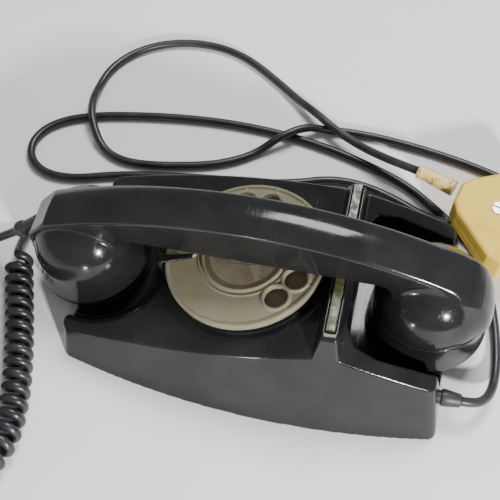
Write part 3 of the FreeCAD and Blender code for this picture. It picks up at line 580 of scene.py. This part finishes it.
def make_housing(black):
    housing = surface_object("housing_moulding", housing_distance, (-84, -65, 0), (104, 65, 57), 0.8)
    finish_piece(housing, "base", "black_bakelite", black, "housing")


# ---------------------------------------------------------------- dial

HOLE_CIRCLE = 29.7
FIRST_HOLE = -23
HOLE_STEP = 25.1


def band(across, height, inner, outer, low, high, soft=0.3):
    """Ring with a rectangular section and softened edges."""
    wide = np.abs(across - (inner + outer) / 2) - (outer - inner) / 2
    tall = np.abs(height - (low + high) / 2) - (high - low) / 2
    return round_max(wide, tall, soft)


def wheel_distance(x, y, z):
    """Clear finger wheel: disc, raised rim, hub rings, and ten ringed holes joined to the hub by webs."""
    across = np.hypot(x, y)
    wheel = band(across, z, 4, 39.9, 5.6, 7.6)
    wheel = round_min(wheel, band(across, z, 38.3, 40, 4.6, 8.2), 0.5)
    wheel = round_min(wheel, band(across, z, 20.1, 21.5, 7, 9.2), 0.5)
    wheel = round_min(wheel, band(across, z, 22.9, 23.6, 7, 8.1, 0.2), 0.4)
    holes = None
    for number in range(10):
        angle = math.radians(FIRST_HOLE + HOLE_STEP * (number - 1))
        along = x * math.cos(angle) + y * math.sin(angle)
        aside = -x * math.sin(angle) + y * math.cos(angle)
        reach = np.hypot(along - HOLE_CIRCLE, aside)
        wheel = round_min(wheel, band(reach, z, 0, 7, 5.2, 8.4), 0.5)
        web = np.maximum(np.maximum(np.abs(aside) - 0.5, np.abs(along - 29.5) - 9), np.abs(z - 7.2) - 0.9)
        wheel = round_min(wheel, web, 0.5)
        holes = reach if holes is None else np.minimum(holes, reach)
    return round_max(wheel, 5.6 - holes, 0.5)


def stop_distance(x, y, z):
    """Finger stop: tapered hook that reaches in over the holes from a foot outside the wheel."""
    angle = math.radians(-168)
    along = x * math.cos(angle) + y * math.sin(angle)
    aside = -x * math.sin(angle) + y * math.cos(angle)
    half = 1.3 + 0.055 * (along - 25.5)
    arm = np.maximum(np.abs(aside) - half, np.abs(along - 34.3) - 8.7)
    arm = round_max(arm, np.abs(z - 9.9) - 0.7, 0.5)
    foot = round_max(np.maximum(np.abs(aside) - 3.2, np.abs(along - 42) - 1), np.abs(z - 5.4) - 5.1, 0.5)
    return round_min(arm, foot, 1)


def make_dial(clear, black, ink):
    low, high = (-40, -40, 4.6), (40, 40, 9.2)
    wheel = surface_object("finger_wheel_moulding", wheel_distance, low, high, 0.5, DIAL)
    finish_piece(wheel, "dial", "clear_wheel", clear, "finger_wheel")
    stop = surface_object("finger_stop_hook", stop_distance, (-44, -20, 0.2), (-20, 6, 10.7), 0.35, DIAL)
    finish_piece(stop, "base", "black_bakelite", black, "finger_stop")
    frame_mesh = bpy.data.meshes.new("card_frame")
    wide, tall, line = 7, 5, 0.35
    outside = [(-wide, -tall), (wide, -tall), (wide, tall), (-wide, tall)]
    inside = [(x - math.copysign(line, x), y - math.copysign(line, y)) for x, y in outside]
    points = [(x * MM, (y - 1.5) * MM, 8.03 * MM) for x, y in outside + inside]
    frame_mesh.from_pydata(points, [], [(n, (n + 1) % 4, 4 + (n + 1) % 4, 4 + n) for n in range(4)])
    frame_mesh.transform(DIAL)
    card_frame = bpy.data.objects.new("card_frame", frame_mesh)
    bpy.context.scene.collection.objects.link(card_frame)
    finish_piece(card_frame, "dial", "card", ink)


# ---------------------------------------------------------------- plug and boots

PLUG_SIDE = [(1.5, -5.7), (4.5, -10.45), (27, -28.5), (34, -30.4), (39.5, -26.6), (43.5, -17.1)]
PLUG_END = (44.5, 0)
PLUG_OUTLINE = PLUG_SIDE + [PLUG_END] + [(x, -y) for x, y in PLUG_SIDE[::-1]]


def plug_distance(x, y, z, low, high):
    """One half of the plug: rounded outline, softened face, well for the screw."""
    side = polygon_distance(x, y, PLUG_OUTLINE) - 1.4
    soft = 2.2
    top = z - high if high > 25 else low - z
    flat = low - z if high > 25 else z - high
    half = round_max(side, top, soft)
    half = round_max(half, flat, 0.3)
    if high > 25:
        well = np.maximum(np.hypot(x - 23, y) - 4.2, high - 1.4 - z)
        half = round_max(half, -well, 0.4)
    return np.maximum(half, 1.6 - np.hypot(x - 23, y))


def make_plug(yellow, pale, soft):
    for name, node, low, high in (("plug_cover_moulding", "plug_cover", 20, 28),
                                  ("plug_base_moulding", "plug_base", 12, 19.9)):
        def distance(x, y, z, low=low, high=high):
            return plug_distance(x, y, z, low, high)
        half = surface_object(name, distance, (-1, -33, low), (47, 33, high), 0.8, PLUG)
        finish_piece(half, "base", "yellow_plastic", yellow, node)
    sleeve = lathe("plug_sleeve_moulding", (75.2, 84.35, 19.05), (95.2, 76.6, 20),
                   [(0, 2.5), (0, 3.2), (0.5, 3.6), (2.5, 3.75), (3, 3.5), (5, 3.6), (12, 4.0),
                    (18, 4.4), (21.4, 4.5)])
    finish_piece(sleeve, "base", "pale_sleeve", pale, "plug_sleeve")
    boot = lathe("line_boot_rubber", (102.2, -40, 15), (111.9, -40, 15),
                 [(-1.8, 3.2), (0, 3.2), (0.2, 4), (1, 4.2), (3, 4.1), (9, 3.3), (9.6, 3.0), (9.7, 2.4)])
    finish_piece(boot, "base", "black_rubber", soft, "line_cord_boot")


# ---------------------------------------------------------------- cords

FLOOR = 2.4
OVER = FLOOR + 5.5
LINE_ROUTE = [
    (111.8, -40, 15), (118, -39.6, 14), (124, -35, 10.5), (127.6, -27, 6), (129, -16, 3),
    (128.4, -3, FLOOR),
    (126, 12, FLOOR), (121.7, 29, FLOOR), (118, 41, FLOOR), (111.5, 51, FLOOR), (102, 62, FLOOR),
    (89, 73, FLOOR), (70, 86, FLOOR), (50, 93.5, FLOOR), (30, 99.5, FLOOR), (8, 103.8, FLOOR),
    (-16, 105.9, FLOOR), (-41, 105.9, FLOOR), (-66, 103.6, FLOOR), (-90, 99.6, FLOOR), (-111, 95, FLOOR),
    (-128, 88.5, FLOOR), (-139, 79, FLOOR), (-143, 67, FLOOR), (-138.5, 55.5, FLOOR), (-127, 49, FLOOR),
    (-111, 49.5, FLOOR), (-95, 55, FLOOR), (-77, 59.6, FLOOR), (-55, 63.2, FLOOR), (-30, 66.9, FLOOR),
    (-8, 69.2, FLOOR), (11, 73.5, FLOOR), (28, 80, FLOOR), (46, 80.5, FLOOR), (64, 75.5, FLOOR),
    (83, 67, FLOOR), (97, 61.8, OVER), (112, 59.5, OVER), (128, 60, FLOOR), (139, 66, FLOOR),
    (143.5, 77, FLOOR), (141, 89, FLOOR), (131, 98, FLOOR), (116, 103.5, FLOOR), (98, 108, FLOOR),
    (76, 112, FLOOR), (55, 114.3, FLOOR), (37, 115, FLOOR), (21, 113.6, FLOOR), (9, 109.3, OVER),
    (-4, 99, OVER), (-14, 90, FLOOR), (-25, 81.5, FLOOR), (-39, 75, FLOOR), (-56, 70.6, FLOOR),
    (-74, 67.2, FLOOR), (-90, 67, FLOOR), (-103, 73.5, FLOOR), (-112.5, 88, OVER), (-116, 101, OVER),
    (-117.5, 115, FLOOR), (-115, 130, FLOOR), (-107, 143.5, FLOOR), (-95, 153.5, FLOOR), (-80, 160, FLOOR),
    (-63, 162.5, FLOOR), (-46, 160.5, FLOOR), (-30, 153.5, FLOOR), (-14, 142.5, FLOOR),
    (0, 131.5, FLOOR + 1), (14, 119.5, OVER), (28, 109.3, OVER), (42, 101, 9.5), (55, 94.2, 12.5),
    (66, 88.4, 16.5), (75, 84.4, 19),
]
COIL = 7.6
COIL_ROUTE = [
    (-121.5, -9, COIL), (-114.5, -28, COIL), (-106.5, -50, COIL), (-99.5, -72, COIL), (-95.5, -91, COIL),
    (-95, -105, COIL), (-99, -117, COIL), (-109, -121, COIL), (-117.5, -114, COIL), (-119.5, -101, COIL),
    (-121.5, -84, COIL), (-127, -60, COIL), (-133.5, -37, COIL), (-139.5, -17, COIL),
]
LEAD_ROUTE = [(-120.7, -2.05, 25.75), (-128.5, -2.9, 19.8), (-136, -4, 14.2), (-141, -8.5, 9.8)]
TAIL_ROUTE = [
    (-124.5, 2, 5.8), (-124, 14, 4), (-118.5, 26, 4), (-108.5, 35, 5.5), (-96, 39.3, 7.6),
    (-86, 40, 8),
]


def smooth_curve(name, points, radius):
    """Round cord: one NURBS spline whose control points are the route's points."""
    data = bpy.data.curves.new(name, "CURVE")
    data.dimensions = "3D"
    data.resolution_u = 8
    data.bevel_depth = radius * MM
    data.bevel_resolution = 6
    data.use_fill_caps = True
    spline = data.splines.new("NURBS")
    spline.points.add(len(points) - 1)
    for point, place in zip(spline.points, points):
        point.co = (*(Vector(place) * MM), 1)
    spline.order_u = 3
    spline.use_endpoint_u = True
    curve = bpy.data.objects.new(name, data)
    bpy.context.scene.collection.objects.link(curve)
    return curve


def line_points(points):
    """Points along a route's NURBS line, in millimetres."""
    curve = smooth_curve("route", points, 0)
    curve.data.resolution_u = 24
    curve.data.use_fill_caps = False
    mesh = bpy.data.meshes.new_from_object(curve)
    line = [v.co / MM for v in mesh.vertices]
    data = curve.data
    bpy.data.objects.remove(curve)
    bpy.data.curves.remove(data)
    bpy.data.meshes.remove(mesh)
    return line


def helix_points(route, radius, pitch, per_turn):
    """Turns of a curly cord round a route's line."""
    line = line_points(route)
    lengths = [0]
    for before, after in zip(line, line[1:]):
        lengths.append(lengths[-1] + (after - before).length)
    turns = round(lengths[-1] / pitch)
    points = []
    index = 0
    for n in range(turns * per_turn + 1):
        at = lengths[-1] * n / (turns * per_turn)
        while index < len(line) - 2 and lengths[index + 1] < at:
            index += 1
        share = (at - lengths[index]) / (lengths[index + 1] - lengths[index])
        spot = line[index].lerp(line[index + 1], share)
        ahead = line[min(index + 6, len(line) - 1)] - line[max(index - 5, 0)]
        side = ahead.cross(Vector((0, 0, 1))).normalized()
        angle = 2 * math.pi * n / per_turn + math.pi / 2
        points.append(spot + side * (radius * math.cos(angle)) + Vector((0, 0, radius * math.sin(angle))))
    return points


def tube_object(name, points, radius, detail):
    """Mesh tube round a smooth curve, with the points of the curve's line in metres."""
    curve = smooth_curve(name + "_curve", points, radius)
    curve.data.resolution_u = detail
    tube = bpy.data.objects.new(name, bpy.data.meshes.new_from_object(curve))
    bpy.context.scene.collection.objects.link(tube)
    tube.data.shade_smooth()
    curve.data.bevel_depth = 0
    curve.data.use_fill_caps = False
    line = bpy.data.meshes.new_from_object(curve)
    path = [tuple(v.co) for v in line.vertices]
    data = curve.data
    bpy.data.objects.remove(curve)
    bpy.data.curves.remove(data)
    bpy.data.meshes.remove(line)
    return tube, path


CURL_RADIUS = 5.3
CURL_WIRE = 2.3
CURL_PITCH = 6.6
CURL_STEPS = 14


def make_cords(line_skin, curly_skin):
    line = smooth_curve("line_flex", LINE_ROUTE, 2.3)
    finish_piece(line, "base", "line_cord", line_skin, "line_cord")
    coil = helix_points(COIL_ROUTE, CURL_RADIUS, CURL_PITCH, CURL_STEPS)
    route = [Vector(p) for p in TAIL_ROUTE[::-1]] + coil + [Vector(p) for p in LEAD_ROUTE[::-1]]
    curly, path = tube_object("handset_flex", route, CURL_WIRE, 3)
    curly.data.materials.clear()
    curly.data.materials.append(curly_skin)
    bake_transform(curly)
    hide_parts("handset_cord_coil", "handset_cord_lead", "handset_cord_tail")


# ---------------------------------------------------------------- make everything

add_camera()
add_world((0.93, 0.95, 1.0), 0.32)
add_light("key", (550, -700, 470), (0, 20, 20), 70, 16)
add_light("front_lamp", (-32, -275, 28), (0, 0, 30), 12, 0.12)
add_light("back_panel", (110, 560, 950), (0, 0, 0), 420, 11)

BLACK = bakelite()
SOFT = rubber("soft_rubber", (0.014, 0.014, 0.015), 0.45)
LINE = rubber("line_cord_skin", (0.014, 0.014, 0.016), 0.36)
CURLY = rubber("curly_cord_skin", (0.014, 0.014, 0.016), 0.3)
CLEAR = clear_plastic("aged_clear_wheel", (0.55, 0.52, 0.38), 0.08, 0.6)
YELLOW = yellow_plug()
PALE = plug_sleeve_material()
INK = plain_moulding("ink", (0.02, 0.02, 0.02), 0.6)
LOOKS = {
    "black_bakelite": BLACK,
    "dark_case": plain_moulding("dark_case_look", (0.04, 0.04, 0.045), 0.4),
    "zinc_plate": metal("zinc_plate_look", (0.62, 0.63, 0.65), 0.4),
    "steel": metal("steel_look", (0.6, 0.6, 0.6), 0.28),
    "brass": metal("brass_look", (0.8, 0.6, 0.25), 0.3),
    "gong": metal("gong_look", (0.75, 0.74, 0.7), 0.2),
    "can": metal("can_look", (0.65, 0.65, 0.66), 0.35),
    "winding": plain_moulding("winding_look", (0.45, 0.16, 0.06), 0.4, 0.3),
    "number_plate": plain_moulding("number_plate_look", (0.18, 0.155, 0.11), 0.5),
    "card": card_material(),
    "clear_cover": clear_plastic("clear_cover_look", (0.97, 0.95, 0.9), 0.05, 0.95),
    "clear_bar": clear_plastic("clear_bar_look", (0.5, 0.5, 0.24), 0.35, 0.9),
    "clear_wheel": CLEAR,
    "black_rubber": SOFT,
    "line_cord": LINE,
    "curly_cord": CURLY,
    "yellow_plastic": YELLOW,
    "pale_sleeve": PALE,
}
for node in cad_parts.values():
    look = LOOKS[node.data.materials[0].name]
    for index in range(len(node.data.materials)):
        node.data.materials[index] = look

make_plug(YELLOW, PALE, SOFT)
make_cords(LINE, CURLY)
make_handset(BLACK, SOFT)
make_housing(BLACK)
make_dial(CLEAR, BLACK, INK)

floor_mesh = bpy.data.meshes.new("floor")
floor_mesh.from_pydata([(-3, -3, 0), (3, -3, 0), (3, 3, 0), (-3, 3, 0)], [], [(0, 1, 2, 3)])
floor = bpy.data.objects.new("floor", floor_mesh)
floor.data.materials.append(floor_material())
bpy.context.scene.collection.objects.link(floor)
